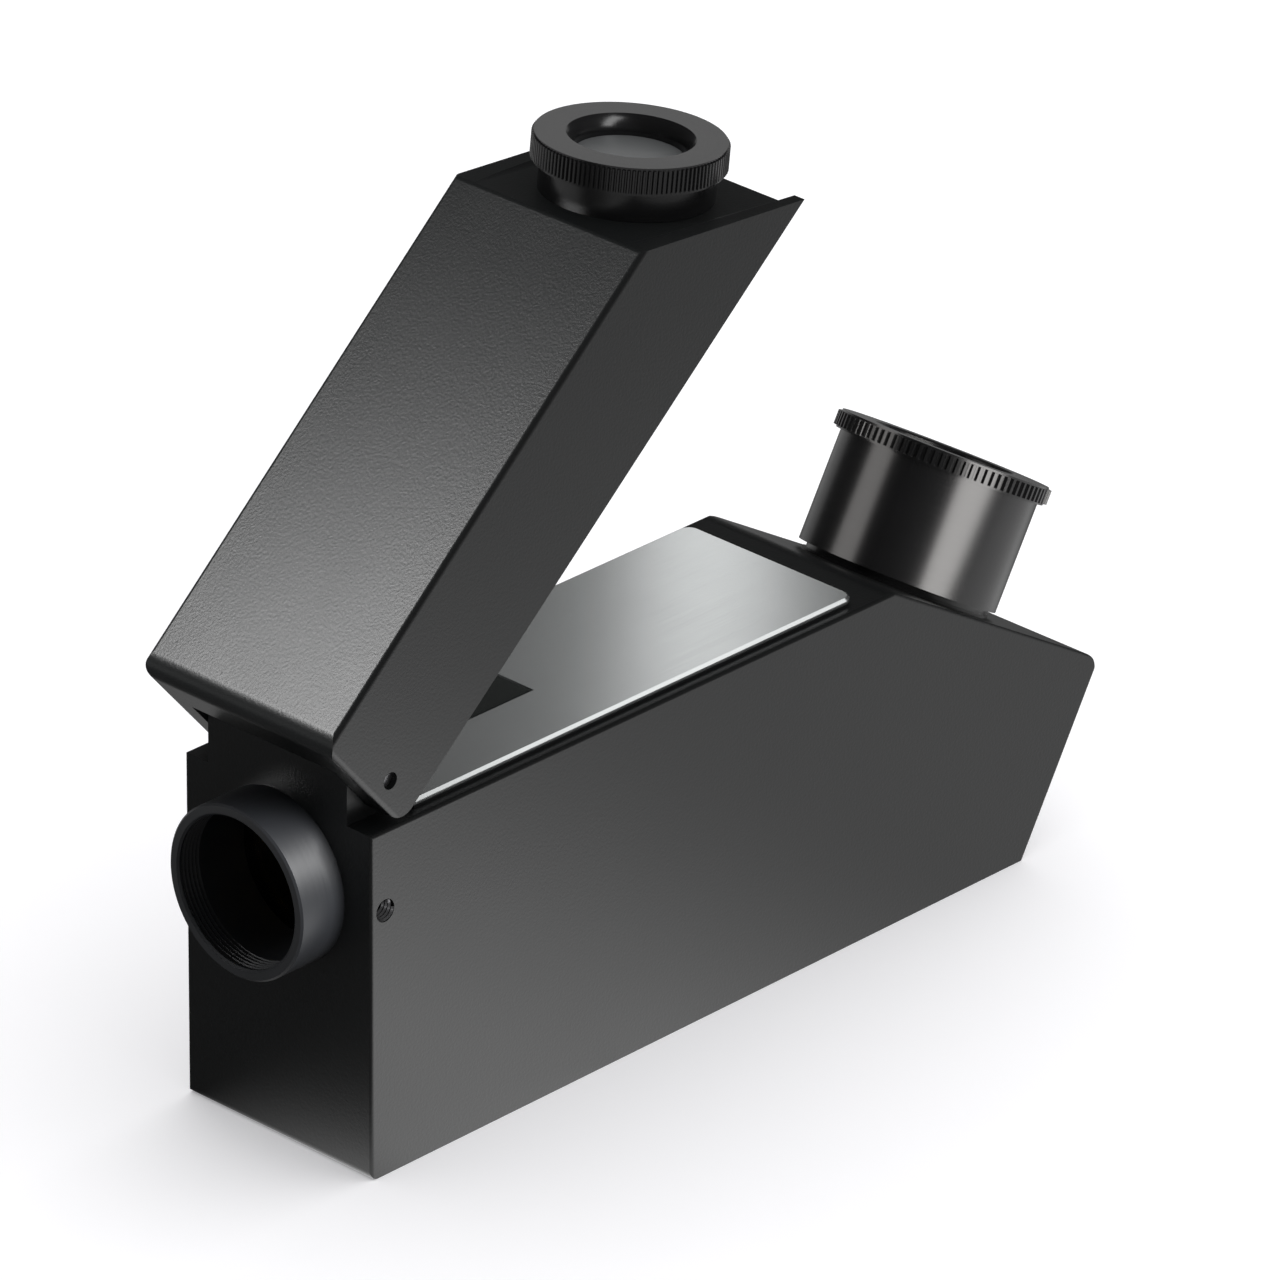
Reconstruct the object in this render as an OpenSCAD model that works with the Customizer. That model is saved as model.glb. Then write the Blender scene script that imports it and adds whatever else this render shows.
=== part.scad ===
// Gem refractometer with a hinged lid, a focusing eyepiece and a polarising filter parked on the lid.
// X runs from the light inlet to the eyepiece, Y across and Z up.
// The origin is the centre of the bottom face. At rest the lid stands open.

/* [Body] */
// Width across the side faces
body_w = 36; // [35:0.5:42]
// Height of the deck above the bottom
body_h = 53.2; // [52:0.2:58]
// Length of the bottom face
base_l = 133.2; // [131:1:140]
// Distance of the ridge before the rear end of the bottom
rear_l = 28.8; // [27:0.4:31]
// Slope of the eyepiece face below level
slope_a = 30.5; // [29:0.5:32]
// Lean of the rear face from upright
rear_lean = 30; // [26:1:34]
// Radius of the bottom front edge
toe_r = 1.2; // [0.6:0.2:2]
// Radius of the rear top edge
heel_r = 3; // [1:0.5:4]
// Radius of the ridge between deck and slope
ridge_r = 6; // [2:1:10]
// Radius of the edges along the side faces
edge_r = 0.5; // [0.2:0.1:0.8]
// Thickness of the side walls
side_t = 3.5; // [3:0.25:4]
// Thickness of the front wall
front_t = 8; // [7.5:0.5:10]
// Thickness of the deck
deck_t = 3.2; // [2.8:0.1:3.6]
// Thickness of the wall that holds the eyepiece
slope_t = 4; // [3:0.5:5]
// Thickness of the rear wall
rear_t = 4; // [3:0.5:5]

/* [Bottom cover] */
// Thickness of the bottom cover
cover_t = 3; // [2.5:0.25:4]
// Width of the body's rim round the bottom cover
cover_rim = 1.8; // [1.2:0.2:2.4]
// Diameter of the cover's screws
cover_screw_d = 2.5; // [2:0.5:3]
// Length of the cover's screws
cover_screw_l = 9; // [8:1:11]

/* [Stage] */
// Height of the raised island on the deck
island_h = 0.45; // [0.3:0.05:0.8]
// Thickness of the polished stage plate
plate_t = 0.85; // [0.6:0.05:1.2]
// Distance of the stage's front end behind the front face
stage_x = 10; // [10:0.5:14]
// Distance of the stage's rear end before the ridge
stage_rear = 6.3; // [5:0.5:10]
// Radius of the stage's rear corners
stage_r = 2; // [1:0.5:4]
// Width of the glass prism and of its window
prism_w = 8.5; // [7:0.5:10]
// Radius of the half-round prism
prism_r = 12; // [11:0.5:13]
// Distance of the prism's centre behind the front face
prism_x = 32.7; // [31:0.5:35]

/* [Light inlet] */
// Outer diameter of the inlet tube
inlet_d = 25.8; // [24:0.2:26]
// Wall of the inlet tube
inlet_t = 1.7; // [1.5:0.1:2]
// Length of the tube outside the front face
inlet_out = 8.1; // [6:0.5:8.5]
// Depth of the tube's axis below the deck
inlet_drop = 12.2; // [11.8:0.2:14]
// Pitch of the filter thread in the tube's mouth
inlet_pitch = 0.7; // [0.6:0.05:0.8]
// Turns of the filter thread
inlet_turns = 5; // [3:1:6]
// Depth of the filter thread
inlet_thread = 0.35; // [0.2:0.05:0.45]
// Diameter of the set screw that clamps the tube
set_screw_d = 3.4; // [3:0.2:4]
// Distance of the set screw behind the front face
set_screw_x = 2.7; // [2.4:0.1:4]

/* [Hinge] */
// Distance of the hinge pin behind the front face
pin_x = 3.7; // [3.6:0.1:4]
// Height of the hinge pin above the deck
pin_up = 7.2; // [7.1:0.1:8]
// Diameter of the hinge pin
pin_d = 2.5; // [2:0.1:3]
// Radius of the hinge boss about the pin
boss_r = 5; // [4:0.25:5.25]
// Thickness of the lid's ears beside the boss
ear_t = 4.3; // [3.5:0.1:5]
// Angle of the lid above the deck at rest
lid_open = 40.7; // [20:0.1:60]

/* [Lid] */
// Depth of the lid at its hinge end
lid_h = 21.5; // [21:0.25:24]
// Extra depth of the lid at its free end
lid_rise = 1.2; // [0:0.2:2]
// Bevel of the lid's end face to its rim
bevel_a = 45; // [43:1:48]
// Tilt of the end face between the side walls
notch_a = 2; // [1:0.25:3]
// Thickness of the lid's side walls
lid_side_t = 1.5; // [1.2:0.1:1.8]
// Thickness of the lid's top
lid_top_t = 2; // [1.5:0.25:2.5]
// Thickness of the lid's two end walls
lid_end_t = 2; // [1.5:0.25:2.5]
// Radius of the lid's corners at the hinge
lid_r = 3; // [2:0.25:3.25]
// Radius of the lid's edges along its side faces
lid_edge_r = 0.8; // [0.3:0.1:1.2]

/* [Eyepiece] */
// Distance of the eyepiece's axis from the ridge, along the slope
eye_s = 22.8; // [22:0.2:24]
// Outer diameter of the fixed neck
neck_d = 27.5; // [26:0.5:28]
// Height of neck that shows below the barrel at rest
neck_show = 1.2; // [1.1:0.1:2]
// Wall of the focusing barrel
barrel_t = 1.3; // [1:0.1:1.6]
// Length of the focusing barrel
barrel_l = 16.8; // [16:0.4:19]
// Diameter of the knurled focusing ring
focus_d = 32.7; // [32:0.5:36]
// Height of the knurled focusing ring
focus_h = 2.7; // [2.5:0.1:4]
// Knurls round the focusing ring
focus_n = 88; // [60:4:100]
// Diameter of the eyepiece's opening
eye_bore_d = 21; // [20:0.25:22]
// Pitch of the focusing thread
focus_pitch = 1.5; // [1:0.25:1.5]

/* [Polarising filter] */
// Diameter of the filter's knurled ring
filter_d = 27.4; // [26:0.2:29]
// Height of the knurled ring
filter_h = 4; // [3.8:0.1:5]
// Knurls round the filter's ring
filter_n = 120; // [80:8:128]
// Diameter of the filter's neck
sleeve_d = 24.6; // [24:0.2:25]
// Height of the neck above the lid's end face
sleeve_h = 4.2; // [3.4:0.2:6]
// Depth of the dish in the knurled ring
dish_depth = 2.8; // [2.4:0.1:2.8]
// Diameter of the dish at the top
dish_d = 18; // [17:0.25:19]
// Clear diameter of the polarising film
film_view_d = 15.3; // [14:0.1:15.5]

/* [Optics] */
// Place of the scale lens on the light's way from the prism to the mirror
lens_share = 0.4; // [0.38:0.01:0.43]
// Diameter of the scale lens
lens_d = 14; // [12:0.5:15]
// Place of the scale reticle on the light's way
reticle_share = 0.67; // [0.64:0.01:0.7]
// Height of the mirror's centre above the bottom cover
mirror_up = 8.9; // [8.4:0.1:9.4]
// Thickness of the lens and reticle boards
board_t = 3; // [2.5:0.25:3.5]

/* [Hidden] */
$fn = 96;
lens_fn = 720;
edge_fn = 32;

// Colours of the finishes
black_paint = "#303234";
black_anodised = "#1c1c1e";
steel = "#b9bcbe";
glass_tint = "#9fb4b8";

// Overrun of every cut past the face that it opens
over = 1;
// Radial clearance of a piece that slides or turns in another
run = 0.05;
// Radial gap between a seated piece and its seat
seat = 0.02;
// Gap between flat faces that pass each other
pass = 0.3;

// Point where the line from p along d meets the line from q along e
function meet(p, d, q, e) = p + d * ((q - p)[0] * e[1] - (q - p)[1] * e[0]) / (d[0] * e[1] - d[1] * e[0]);
// Unit direction from p to q
function toward(p, q) = (q - p) / norm(q - p);
// Point at x and z in a frame at start that is turned by angle a about Y
function turned(start, a, x, z) = start + [x * cos(a) + z * sin(a), z * cos(a) - x * sin(a)];

// Height of a lens's curved face above its edge, at radius at
function ball(r, sag) = (r * r + sag * sag) / (2 * sag);
function rise(r, sag, at) = sqrt(pow(ball(r, sag), 2) - at * at) - ball(r, sag) + sag;

// Side outline of the body, in X from the front face and Z from the bottom
deck_l = base_l - rear_l;
ridge = [deck_l, body_h];
slope_dir = [cos(slope_a), -sin(slope_a)];
rear_dir = [sin(rear_lean), cos(rear_lean)];
heel = meet(ridge, slope_dir, [base_l, 0], rear_dir);

// Inside of the body, with a sill at the rear for the cover's screws
sill_l = 9;
sill_h = 12;
inner_w = body_w - 2 * side_t;
roof_z = body_h - deck_t;
slope_in = turned(ridge, slope_a, 0, -slope_t);
roof_end = meet([0, roof_z], [1, 0], slope_in, slope_dir);
rear_in = [base_l - rear_t / cos(rear_lean), 0];
heel_in = meet(slope_in, slope_dir, rear_in, rear_dir);
sill_top = meet([0, sill_h], [1, 0], rear_in, rear_dir);
sill_front = base_l - sill_l;

// Bottom cover
cover_edge = 4;
cover_head_d = 2 * cover_screw_d;
cover_screw_x = [cover_rim + cover_edge, base_l - cover_rim - cover_edge];
cover_screw_y = body_w / 2 - cover_rim - cover_edge;

// Stage
shoulder = lid_side_t + pass;
stage_w = body_w - 2 * shoulder;
stage_end = deck_l - stage_rear;
plate_z = body_h + island_h;
plate_top = plate_z + plate_t;
beam_relief = 3.5;

// Saddle that holds the prism from below
saddle_l = 8;
saddle_under = 2.5;
saddle_cheek = 2.5;
saddle_gap = 0.3;
saddle_wing_t = 4;
saddle_screw_d = 2;
saddle_screw_in = 2;
saddle_head_d = 3.8;
saddle_head_h = 1.6;
saddle_half = prism_w / 2 + saddle_cheek;
saddle_wing = inner_w / 2 - saddle_gap - saddle_half;
saddle_bottom = plate_top - prism_r - saddle_under;
saddle_screw_y = saddle_half + saddle_wing / 2;

// Longer than anything on the instrument
reach = 2 * (base_l + body_h);

// Light path from the stage down to the mirror
eye_foot = turned(ridge, slope_a, eye_s, 0);
mirror_at = meet(eye_foot, [sin(slope_a), cos(slope_a)], [0, cover_t + mirror_up], [1, 0]);
contact = [prism_x, plate_top];
light_l = norm(mirror_at - contact);
light_a = atan2(contact[1] - mirror_at[1], mirror_at[0] - contact[0]);
mirror_a = (90 - slope_a - light_a) / 2;
mirror_l = 22;
mirror_w = 22;
mirror_t = 2;

// Boards that hold the scale lens and the reticle
groove = 1;
board_up = 10;
board_down = 12;
board_w = inner_w + 2 * (groove - run);
lens_t = 3.2;
lens_edge_t = 1.4;
board_lip = 0.8;
reticle_t = 1.2;
retainer_t = 0.6;
retainer_w = 1.2;
lens_r = lens_d / 2;
lens_at = lens_share * light_l;
reticle_at = reticle_share * light_l;
reticle_margin = 1;
reticle_r = lens_r + reticle_margin;
reticle_lines = 21;
reticle_line_w = 0.15;
reticle_span_share = 1.3;
reticle_long_share = 0.75;
reticle_short_share = 0.5;

// Light inlet, with a shoulder that seats on the front face
inlet_z = body_h - inlet_drop;
inlet_r = inlet_d / 2;
inlet_step = 0.4;
inlet_shank_r = inlet_r - inlet_step;
inlet_back = 1;
inlet_in = front_t - inlet_back;
inlet_bore_r = inlet_r - inlet_t;
inlet_edge = 0.3;
inlet_lead = 0.6;
filter_glass_t = 1.5;
filter_ledge = 0.5;
inlet_ring_t = 1;
set_screw_share = 0.58;
set_screw_l = set_screw_share * (body_w / 2 - inlet_shank_r - seat);
hex_share = 0.5;

// Hinge
pin_z = body_h + pin_up;
pin_recess = 1;
boss_w = body_w - 2 * (ear_t + pass);
boss_x = pin_x + boss_r;

// Lid, in X along its rim and Z from its rim
lid_front = 0.25;
lid_rear_gap = 0.45;
lid_corner_r = 1;
pin_s = pin_x - lid_front;
pin_h = pin_up - pass;
lid_l = deck_l - lid_front - lid_rear_gap;
lid_end_h = lid_h + lid_rise;
lid_c = [lid_l - lid_end_h / tan(bevel_a), lid_end_h];
ear_gap = 0.6;
ear_l = boss_x - lid_front - ear_gap;
end_a = bevel_a + notch_a;
end_face_l = lid_end_h / sin(bevel_a);
end_dir = [cos(end_a), -sin(end_a)];
end_in = turned(lid_c, end_a, 0, -lid_end_t);
top_dir = toward([0, lid_h], lid_c);
top_in = turned([0, lid_h], -atan2(lid_rise, lid_c[0]), 0, -lid_top_t);
pocket_b = meet(top_in, top_dir, [lid_end_t, 0], [0, 1]);
pocket_e = meet(top_in, top_dir, [ear_l, 0], [0, 1]);
pocket_c = meet(top_in, top_dir, end_in, end_dir);
pocket_d = meet([0, -over], [1, 0], end_in, end_dir);
pocket_w = body_w - 2 * lid_side_t;
hinge_gap_w = boss_w + 2 * pass;
hinge_gap_top = 0.8;
hinge_gap_h = pin_h + boss_r + hinge_gap_top;
notch_w = pocket_w;
notch_r = 2.5;

// Shares of a knurl's pitch
tip_share = 0.34;
flank_share = 0.2;
thread_share = 0.9;

// Eyepiece, in Z along its axis from the slope
neck_r = neck_d / 2;
neck_t = 2;
neck_top = 14;
neck_inner_l = 3;
neck_in = slope_t + neck_inner_l;
flange_t = 0.4;
flange_w = 0.5;
field_wall = 1.35;
field_seat_r = neck_r - field_wall;
field_lens_t = 2.2;
field_edge_t = 1.2;
field_lens_r = field_seat_r - seat;
field_ring_in_r = field_seat_r - retainer_w;
field_low = retainer_t + seat + rise(field_lens_r, field_lens_t - field_edge_t, field_ring_in_r);
field_seat_z = field_low + field_edge_t - neck_in;
barrel_in_r = neck_r + run;
barrel_r = barrel_in_r + barrel_t;
barrel_top = neck_show + barrel_l;
focus_edge = 0.3;
knurl_depth = 0.5;
eye_bore_r = eye_bore_d / 2;
cell_h = 2.6;
cell_step = 0.3;
cell_bore_r = eye_bore_r - cell_step;
cell_lip = 0.4;
eye_lens_t = 2;
eye_edge_t = 0.9;
cell_top = barrel_top - run;
cell_low = cell_top - cell_h;
cell_r = barrel_in_r - run;

// Filter and its socket, in Z from the lid's end face
socket_depth = 2;
socket_t = 0.5;
socket_rim = 0.8;
socket_up = 0.5;
spigot_l = 1.8;
spigot_r = eye_bore_r - run;
film_view_r = film_view_d / 2;
film_lip = 0.9;
film_seat_r = film_view_r + film_lip;
film_t = 0.7;
clamp_t = 0.5;
clamp_w = 1.4;
web_t = 0.6;
hub_t = 1.1;
hub_h = 2;
filter_edge = 0.35;
filter_knurl_depth = 0.3;
filter_at = end_face_l / 2 - socket_up;
ring_z = sleeve_h + run;
ring_top = ring_z + filter_h;
hub_in_r = film_seat_r + web_t + run;
hub_r = hub_in_r + hub_t;
dish_half = (dish_d - film_view_d) / 2;
dish_r = (dish_half * dish_half + dish_depth * dish_depth) / (2 * dish_half);

// Front frame: X is measured from the front face
module from_front() {
    translate([-base_l / 2, 0, 0]) children();
}

// Lid frame, with the lid open by its rest angle
module on_lid() {
    from_front() translate([pin_x, 0, pin_z]) rotate([0, -lid_open, 0])
        translate([-pin_s, 0, -pin_h]) children();
}

// Frame of the lid's end face, X down the face and Z out of it
module on_end(at) {
    translate([lid_c[0], 0, lid_c[1]]) rotate([0, end_a, 0]) translate([at, 0, 0]) children();
}

// Frame of the slope, Z along the eyepiece's axis
module on_slope() {
    translate([eye_foot[0], 0, eye_foot[1]]) rotate([0, slope_a, 0]) children();
}

// Frame on the light path, Z along the light and X down
module on_light(at) {
    translate([contact[0], 0, contact[1]]) rotate([0, 90 + light_a, 0]) translate([0, 0, at]) children();
}

// Frame of the light inlet, Z out of the front face
module on_inlet() {
    translate([0, 0, inlet_z]) rotate([0, -90, 0]) children();
}

// Frame of the mirror, Z out of its face
module on_mirror() {
    translate([mirror_at[0], 0, mirror_at[1]]) rotate([0, -mirror_a, 0]) children();
}

// Plate of width w across Y, its outline drawn in X and Z
module across(w) {
    rotate([90, 0, 0]) translate([0, 0, -w / 2]) linear_extrude(w) children();
}

// What is cut away to round an outline's corner v between its neighbours p and n
module corner_cut(p, v, n, r) {
    u = toward(v, p);
    w = toward(v, n);
    half = acos(u * w) / 2;
    out = (u + w) / norm(u + w);
    c = v + out * r / sin(half);
    a = v + u * r / tan(half);
    b = v + w * r / tan(half);
    difference() {
        polygon([c, a + (a - c) * over / r, v - out * over, b + (b - c) * over / r]);
        translate(c) circle(r);
    }
}

// Bar whose four long edges are rounded, from x = 0, its outline w across Y and h up
module soft_bar(l, w, h, r) {
    rotate([90, 0, 90]) linear_extrude(l) {
        translate([-w / 2 + r, 0]) square([w - 2 * r, h]);
        translate([-w / 2, r]) square([w, h - 2 * r]);
        for (x = [-w / 2 + r, w / 2 - r], y = [r, h - r]) translate([x, y]) circle(r, $fn = edge_fn);
    }
}

// All that lies behind the face through start that is turned by angle a, with both its edges rounded
module behind(start, a, w, r) {
    translate([start[0], 0, start[1]]) rotate([0, a, 0]) translate([-reach, 0, -reach])
        soft_bar(2 * reach, w, reach, r);
}

// Round tube from z0 to z1
module tube(r_out, r_in, z0, z1) {
    translate([0, 0, z0]) difference() {
        cylinder(h = z1 - z0, r = r_out);
        translate([0, 0, -over]) cylinder(h = z1 - z0 + 2 * over, r = r_in);
    }
}

// Round cut from z0 to z1
module bore(r, z0, z1) {
    translate([0, 0, z0]) cylinder(h = z1 - z0, r = r);
}

// Lens with its flat face at z = 0 and its curved face above
module lens(r, centre_t, edge_t) {
    ball_r = ball(r, centre_t - edge_t);
    rotate_extrude() intersection() {
        square([r, centre_t]);
        translate([0, centre_t - ball_r]) circle(ball_r, $fn = lens_fn);
    }
}

// Outline of a straight knurl with n teeth between the radii r0 and r1
function tooth(n, at, r) = r * [cos(360 * at / n), sin(360 * at / n)];
function knurl(n, r0, r1) = [for (i = [0 : n - 1]) each [
    tooth(n, i, r1),
    tooth(n, i + tip_share, r1),
    tooth(n, i + tip_share + flank_share, r0),
    tooth(n, i + 1 - flank_share, r0)
]];

// Knurled disc from z0 to z1, plain for the height of b at both ends
module knurled_disc(r, depth, n, z0, z1, b) {
    bore(r - depth, z0, z1);
    translate([0, 0, z0 + b]) linear_extrude(z1 - z0 - 2 * b) polygon(knurl(n, r - depth, r));
}

// Body

module body_outline() {
    difference() {
        polygon([[0, 0], [0, body_h], ridge, heel, [base_l, 0]]);
        corner_cut([0, body_h], [0, 0], [base_l, 0], toe_r);
        corner_cut(ridge, heel, [base_l, 0], heel_r);
        corner_cut([0, body_h], ridge, heel, ridge_r);
    }
}

module stage_outline() {
    difference() {
        translate([stage_x, -stage_w / 2]) square([stage_end - stage_x, stage_w]);
        for (y = [-stage_w / 2, stage_w / 2])
            corner_cut([stage_x, y], [stage_end, y], [stage_end, 0], stage_r);
    }
}

module hinge_boss() {
    translate([0, -boss_w / 2, body_h - over]) cube([boss_x, boss_w, pin_up + over]);
    intersection() {
        translate([pin_x, boss_w / 2, pin_z]) rotate([90, 0, 0]) cylinder(h = boss_w, r = boss_r);
        translate([0, -boss_w / 2, body_h]) cube([boss_x + over, boss_w, pin_up + boss_r + over]);
    }
}

// Cavity that holds the optics, open at the bottom
module cavity() {
    across(inner_w) polygon([[front_t, cover_t - over], [front_t, roof_z], roof_end, heel_in, sill_top,
        [sill_front, sill_h], [sill_front, cover_t - over]]);
}

// Groove for a board in both side walls, open at the bottom
module board_groove(at) {
    on_light(at) translate([-board_up - run, -board_w / 2 - run, -board_t / 2 - run])
        cube([board_up + body_h, board_w + 2 * run, board_t + 2 * run]);
}

module cover_outline(gap) {
    translate([cover_rim + gap, -body_w / 2 + cover_rim + gap])
        square([base_l - 2 * (cover_rim + gap), body_w - 2 * (cover_rim + gap)]);
}

module at_cover_screws() {
    for (x = cover_screw_x, side = [-1, 1]) translate([x, side * cover_screw_y, 0]) children();
}

module at_saddle_screws() {
    for (side = [-1, 1]) translate([prism_x, side * saddle_screw_y, roof_z]) children();
}

module set_screw_hole(r, y0, y1) {
    translate([set_screw_x, -y0, inlet_z]) rotate([90, 0, 0]) cylinder(h = y1 - y0, r = r);
}

module housing() {
    color(black_paint) from_front() difference() {
        union() {
            intersection() {
                across(body_w) body_outline();
                translate([-over, 0, -edge_r]) soft_bar(reach, body_w, body_h + edge_r, edge_r);
                behind([0, 0], -90, body_w, edge_r);
                behind(ridge, slope_a, body_w, edge_r);
                behind([base_l, 0], 90 + rear_lean, body_w, edge_r);
            }
            translate([0, 0, body_h - over]) linear_extrude(island_h + over) stage_outline();
            hinge_boss();
        }
        cavity();
        translate([0, 0, -over]) linear_extrude(cover_t + over) cover_outline(0);
        at_cover_screws() cylinder(h = cover_screw_l + over, r = cover_screw_d / 2 + seat);
        at_saddle_screws() bore(saddle_screw_d / 2 + seat, -over, saddle_screw_in + seat);
        translate([prism_x - prism_r - seat, -prism_w / 2 - seat, roof_z - over])
            cube([2 * prism_r + seat + beam_relief, prism_w + 2 * seat, deck_t + island_h + 2 * over]);
        board_groove(lens_at);
        board_groove(reticle_at);
        on_inlet() bore(inlet_shank_r + seat, -front_t - over, over);
        set_screw_hole(set_screw_d / 2 + seat, 0, body_w / 2 + over);
        translate([pin_x, body_w / 2, pin_z]) rotate([90, 0, 0]) cylinder(h = body_w, r = pin_d / 2 + run);
        on_slope() bore(neck_r + seat, -neck_in - over, over);
    }
}

module cover_screw_shape(gap) {
    cylinder(h = cover_screw_d / 2, r1 = cover_head_d / 2 + gap, r2 = cover_screw_d / 2 + gap);
    cylinder(h = cover_screw_l, r = cover_screw_d / 2 + gap);
}

module bottom_cover() {
    color(black_paint) from_front() difference() {
        linear_extrude(cover_t) cover_outline(run);
        at_cover_screws() cover_screw_shape(seat);
    }
}

module cross_slot(size) {
    for (turn = [0, 90]) rotate([0, 0, turn])
        translate([-size / 2, -size / 8, -over]) cube([size, size / 4, size / 4 + over]);
}

module cover_screws() {
    color(steel) from_front() at_cover_screws() difference() {
        cover_screw_shape(0);
        cross_slot(cover_head_d / 2);
    }
}

module stage_plate() {
    color(steel) from_front() difference() {
        translate([0, 0, plate_z]) linear_extrude(plate_t) stage_outline();
        translate([prism_x - prism_r - run, -prism_w / 2 - run, plate_z - over])
            cube([2 * (prism_r + run), prism_w + 2 * run, plate_t + 2 * over]);
    }
}

module prism() {
    color(glass_tint) from_front() intersection() {
        translate([prism_x, prism_w / 2, plate_top]) rotate([90, 0, 0]) cylinder(h = prism_w, r = prism_r);
        translate([prism_x - prism_r, -prism_w / 2, plate_top - prism_r])
            cube([2 * prism_r, prism_w, prism_r]);
    }
}

module prism_saddle() {
    color(black_anodised) from_front() difference() {
        union() {
            translate([prism_x - saddle_l / 2, -saddle_half, saddle_bottom])
                cube([saddle_l, 2 * saddle_half, roof_z - saddle_bottom]);
            translate([prism_x - saddle_l / 2, -saddle_half - saddle_wing, roof_z - saddle_wing_t])
                cube([saddle_l, 2 * (saddle_half + saddle_wing), saddle_wing_t]);
        }
        translate([prism_x, prism_w / 2 + seat, plate_top]) rotate([90, 0, 0])
            cylinder(h = prism_w + 2 * seat, r = prism_r + seat);
        at_saddle_screws() bore(saddle_screw_d / 2 + seat, -saddle_wing_t - over, over);
    }
}

module saddle_screws() {
    color(steel) from_front() at_saddle_screws() difference() {
        union() {
            bore(saddle_screw_d / 2, -saddle_wing_t, saddle_screw_in);
            bore(saddle_head_d / 2, -saddle_wing_t - saddle_head_h, -saddle_wing_t);
        }
        translate([0, 0, -saddle_wing_t - saddle_head_h]) cross_slot(saddle_head_d * hex_share);
    }
}

// Optics

// Board with a stepped hole: light passes at r_in, and the glass sits at r_seat
module optics_board(at, r_in, r_seat) {
    color(black_anodised) from_front() on_light(at) difference() {
        translate([-board_up, -board_w / 2, -board_t / 2]) cube([board_up + board_down, board_w, board_t]);
        bore(r_in, -board_t, board_t);
        bore(r_seat + seat, -board_t / 2 + board_lip, board_t);
    }
}

module lens_board() {
    optics_board(lens_at, lens_r - board_lip, lens_r);
}

module scale_lens() {
    color(glass_tint) from_front() on_light(lens_at)
        translate([0, 0, -board_t / 2 + board_lip]) lens(lens_r, lens_t, lens_edge_t);
}

module lens_ring() {
    low = lens_edge_t + rise(lens_r, lens_t - lens_edge_t, lens_r - retainer_w) + seat;
    color(black_anodised) from_front() on_light(lens_at) translate([0, 0, -board_t / 2 + board_lip])
        tube(lens_r, lens_r - retainer_w, low, low + retainer_t);
}

module reticle_board() {
    optics_board(reticle_at, reticle_r - board_lip, reticle_r);
}

// Glass disc with the scale's lines cut into it
module scale_reticle() {
    span = reticle_span_share * reticle_r;
    color(glass_tint) from_front() on_light(reticle_at)
        translate([0, 0, -board_t / 2 + board_lip]) difference() {
        bore(reticle_r, 0, reticle_t);
        for (i = [0 : reticle_lines - 1])
            translate([span * (i / (reticle_lines - 1) - 1 / 2) - reticle_line_w / 2, -reticle_r / 4,
                reticle_t - reticle_line_w])
                cube([reticle_line_w, reticle_r * (i % 5 == 0 ? reticle_long_share : reticle_short_share),
                    reticle_line_w + over]);
    }
}

module reticle_ring() {
    color(black_anodised) from_front() on_light(reticle_at) translate([0, 0, -board_t / 2 + board_lip])
        tube(reticle_r, reticle_r - retainer_w, reticle_t, reticle_t + retainer_t);
}

module mirror() {
    color(glass_tint) from_front() on_mirror()
        translate([-mirror_l / 2, -mirror_w / 2, -mirror_t]) cube([mirror_l, mirror_w, mirror_t]);
}

module mirror_wedge() {
    front = turned(mirror_at, -mirror_a, -mirror_l / 2, -mirror_t);
    rear = turned(mirror_at, -mirror_a, mirror_l / 2, -mirror_t);
    color(black_anodised) from_front() across(mirror_w)
        polygon([[front[0], cover_t], front, rear, [rear[0], cover_t]]);
}

// Light inlet

module light_inlet_tube() {
    seat_r = inlet_bore_r + filter_ledge;
    seat_z = -inlet_in + inlet_ring_t + filter_glass_t;
    color(black_anodised) from_front() on_inlet() rotate_extrude() difference() {
        polygon([[seat_r, -inlet_in], [inlet_shank_r, -inlet_in], [inlet_shank_r, 0], [inlet_r, 0],
            [inlet_r, inlet_out - inlet_edge],
            [inlet_r - inlet_edge, inlet_out], [inlet_bore_r + inlet_edge, inlet_out],
            [inlet_bore_r, inlet_out - inlet_edge], [inlet_bore_r, seat_z], [seat_r, seat_z]]);
        for (i = [0 : inlet_turns - 1]) translate([inlet_bore_r, inlet_out - inlet_lead - i * inlet_pitch])
            polygon([[-over, 0], [0, 0], [inlet_thread, -inlet_pitch / 2], [0, -inlet_pitch * thread_share],
                [-over, -inlet_pitch * thread_share]]);
    }
}

module inlet_filter() {
    color(glass_tint) from_front() on_inlet() translate([0, 0, -inlet_in + inlet_ring_t])
        cylinder(h = filter_glass_t, r = inlet_bore_r + filter_ledge - seat);
}

module inlet_ring() {
    color(black_anodised) from_front() on_inlet()
        tube(inlet_bore_r + filter_ledge - seat, inlet_bore_r - retainer_w, -inlet_in,
            -inlet_in + inlet_ring_t);
}

module inlet_set_screw() {
    color(steel) from_front() difference() {
        set_screw_hole(set_screw_d / 2, inlet_shank_r + seat, inlet_shank_r + seat + set_screw_l);
        translate([set_screw_x, -inlet_shank_r - set_screw_l / 2, inlet_z]) rotate([90, 0, 0])
            cylinder(h = set_screw_l, r = set_screw_d / 2 * hex_share, $fn = 6);
    }
}

// Eyepiece

module eyepiece_neck() {
    color(black_anodised) from_front() on_slope() difference() {
        union() {
            bore(neck_r, -neck_in, neck_top);
            bore(neck_r + flange_w, 0, flange_t);
        }
        bore(neck_r - neck_t, -neck_in - over, neck_top + over);
        bore(field_seat_r, -neck_in - over, field_seat_z);
    }
}

module field_lens() {
    color(glass_tint) from_front() on_slope()
        translate([0, 0, field_seat_z]) rotate([180, 0, 0]) lens(field_lens_r, field_lens_t, field_edge_t);
}

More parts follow.
